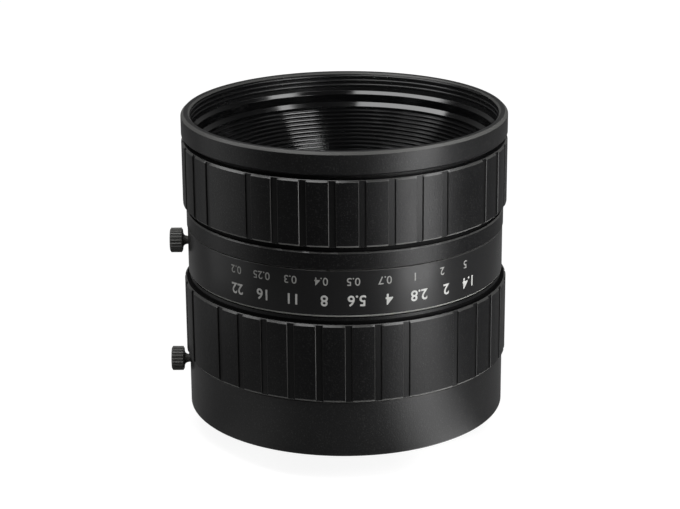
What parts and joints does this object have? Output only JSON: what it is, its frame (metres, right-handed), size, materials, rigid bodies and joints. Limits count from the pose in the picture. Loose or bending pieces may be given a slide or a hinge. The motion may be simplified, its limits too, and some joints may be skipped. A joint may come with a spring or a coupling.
{
  "type": "c-mount machine vision lens",
  "caption": "C-mount lens for machine vision with lockable slotted focus and iris rings, a working blade iris and a threaded filter rim.",
  "frame": {"origin": "on the optical axis in the flange plane of the mount", "axes": "+Z along the optical axis towards the front; the lock screws are on the -X side; the scales face -Y"},
  "size_m": [0.0536, 0.051, 0.052],
  "materials": {
    "anodised_black": "satin black anodised",
    "anodised_scale": "smooth satin black anodised",
    "inner_black": "black anodised",
    "plated_brass": "nickel plated",
    "coated_glass": "polished, coated",
    "blade_steel": "blackened",
    "pin_steel": "turned",
    "pad_brass": "turned",
    "screw_black": "black oxide, knurled"
  },
  "bodies": {
    "base": {"rear_cover": "anodised_black", "c_mount": "plated_brass", "guide_barrel": "inner_black", "label_sleeve": "anodised_scale", "focus_retaining_ring": "inner_black", "rear_screws": "pin_steel"},
    "focus_ring": {"focus_grip_ring": "anodised_black", "focus_cam_sleeve": "inner_black"},
    "lens_unit": {"unit_barrel": "inner_black", "filter_ring": "anodised_black", "front_baffle": "inner_black", "front_cell": "inner_black", "front_retaining_ring": "inner_black", "lens_1": "coated_glass", "lens_2": "coated_glass", "lens_3": "coated_glass", "lens_4": "coated_glass", "lens_5": "coated_glass", "lens_6": "coated_glass", "lens_7": "coated_glass", "spacer_1_2": "inner_black", "spacer_5_6": "inner_black", "spacer_6_7": "inner_black", "iris_base_plate": "inner_black", "rear_cell": "inner_black", "rear_retaining_ring": "inner_black", "focus_pins": "pin_steel"},
    "iris_ring": {"iris_grip_ring": "anodised_black", "iris_drive_ring": "inner_black", "iris_drive_pin": "pin_steel"},
    "iris_actuator": {"iris_cam_ring": "inner_black"},
    "blade_1": {"iris_blade_1": "blade_steel"},
    "blade_2": {"iris_blade_2": "blade_steel"},
    "blade_3": {"iris_blade_3": "blade_steel"},
    "blade_4": {"iris_blade_4": "blade_steel"},
    "blade_5": {"iris_blade_5": "blade_steel"},
    "blade_6": {"iris_blade_6": "blade_steel"},
    "blade_7": {"iris_blade_7": "blade_steel"},
    "focus_lock_tip": {"focus_lock_pad": "pad_brass"},
    "focus_lock_thumb": {"focus_lock_screw": "screw_black"},
    "iris_lock_tip": {"iris_lock_pad": "pad_brass"},
    "iris_lock_thumb": {"iris_lock_screw": "screw_black"}
  },
  "joints": [
    {"name": "focus_turn", "type": "hinge", "parent": "base", "child": "focus_ring", "pos_m": [0, 0, 0.037], "axis": [0, 0, 1], "range_deg": [0, 130]},
    {"name": "lens_travel", "type": "slide", "parent": "base", "child": "lens_unit", "axis": [0, 0, 1], "range_m": [0, 0.00461]},
    {"name": "iris_turn", "type": "hinge", "parent": "base", "child": "iris_ring", "pos_m": [0, 0, 0.0155], "axis": [0, 0, 1], "range_deg": [-33.08, 14.92]},
    {"name": "iris_actuator_turn", "type": "hinge", "parent": "lens_unit", "child": "iris_actuator", "pos_m": [0, 0, 0.0238], "axis": [0, 0, 1], "range_deg": [-33.18, 15.02]},
    {"name": "blade_1_turn", "type": "hinge", "parent": "lens_unit", "child": "blade_1", "pos_m": [0.01428, 0.00304, 0.0225], "axis": [0, 0, 1], "range_deg": [-22.56, 10.23]},
    {"name": "blade_2_turn", "type": "hinge", "parent": "lens_unit", "child": "blade_2", "pos_m": [0.00653, 0.01306, 0.0225], "axis": [0, 0, 1], "range_deg": [-22.56, 10.23]},
    {"name": "blade_3_turn", "type": "hinge", "parent": "lens_unit", "child": "blade_3", "pos_m": [-0.00614, 0.01325, 0.0225], "axis": [0, 0, 1], "range_deg": [-22.56, 10.23]},
    {"name": "blade_4_turn", "type": "hinge", "parent": "lens_unit", "child": "blade_4", "pos_m": [-0.01418, 0.00346, 0.0225], "axis": [0, 0, 1], "range_deg": [-22.56, 10.23]},
    {"name": "blade_5_turn", "type": "hinge", "parent": "lens_unit", "child": "blade_5", "pos_m": [-0.01155, -0.00893, 0.0225], "axis": [0, 0, 1], "range_deg": [-22.56, 10.23]},
    {"name": "blade_6_turn", "type": "hinge", "parent": "lens_unit", "child": "blade_6", "pos_m": [-0.00022, -0.0146, 0.0225], "axis": [0, 0, 1], "range_deg": [-22.56, 10.23]},
    {"name": "blade_7_turn", "type": "hinge", "parent": "lens_unit", "child": "blade_7", "pos_m": [0.01128, -0.00927, 0.0225], "axis": [0, 0, 1], "range_deg": [-22.56, 10.23]},
    {"name": "focus_lock_travel", "type": "slide", "parent": "base", "child": "focus_lock_tip", "axis": [-1, 0, 0], "range_m": [0, 0.0006]},
    {"name": "focus_lock_turn", "type": "hinge", "parent": "focus_lock_tip", "child": "focus_lock_thumb", "pos_m": [-0.0256, 0, 0.0267], "axis": [-1, 0, 0], "range_deg": [-1.2, 721.2]},
    {"name": "iris_lock_travel", "type": "slide", "parent": "base", "child": "iris_lock_tip", "axis": [-1, 0, 0], "range_m": [-0.00035, 0.00025]},
    {"name": "iris_lock_turn", "type": "hinge", "parent": "iris_lock_tip", "child": "iris_lock_thumb", "pos_m": [-0.0256, 0, 0.0066], "axis": [-1, 0, 0], "range_deg": [-421.2, 301.2]}
  ],
  "couplings": [
    {"joint": "lens_travel", "follows": "focus_turn", "m_per_rad": 0.0020274},
    {"joint": "iris_actuator_turn", "follows": "iris_turn", "ratio": 1},
    {"joint": "blade_1_turn", "follows": "iris_turn", "ratio": 0.67897},
    {"joint": "blade_2_turn", "follows": "iris_turn", "ratio": 0.67897},
    {"joint": "blade_3_turn", "follows": "iris_turn", "ratio": 0.67897},
    {"joint": "blade_4_turn", "follows": "iris_turn", "ratio": 0.67897},
    {"joint": "blade_5_turn", "follows": "iris_turn", "ratio": 0.67897},
    {"joint": "blade_6_turn", "follows": "iris_turn", "ratio": 0.67897},
    {"joint": "blade_7_turn", "follows": "iris_turn", "ratio": 0.67897},
    {"joint": "focus_lock_turn", "follows": "focus_lock_travel", "rad_per_m": 20944},
    {"joint": "iris_lock_turn", "follows": "iris_lock_travel", "rad_per_m": 20944}
  ]
}
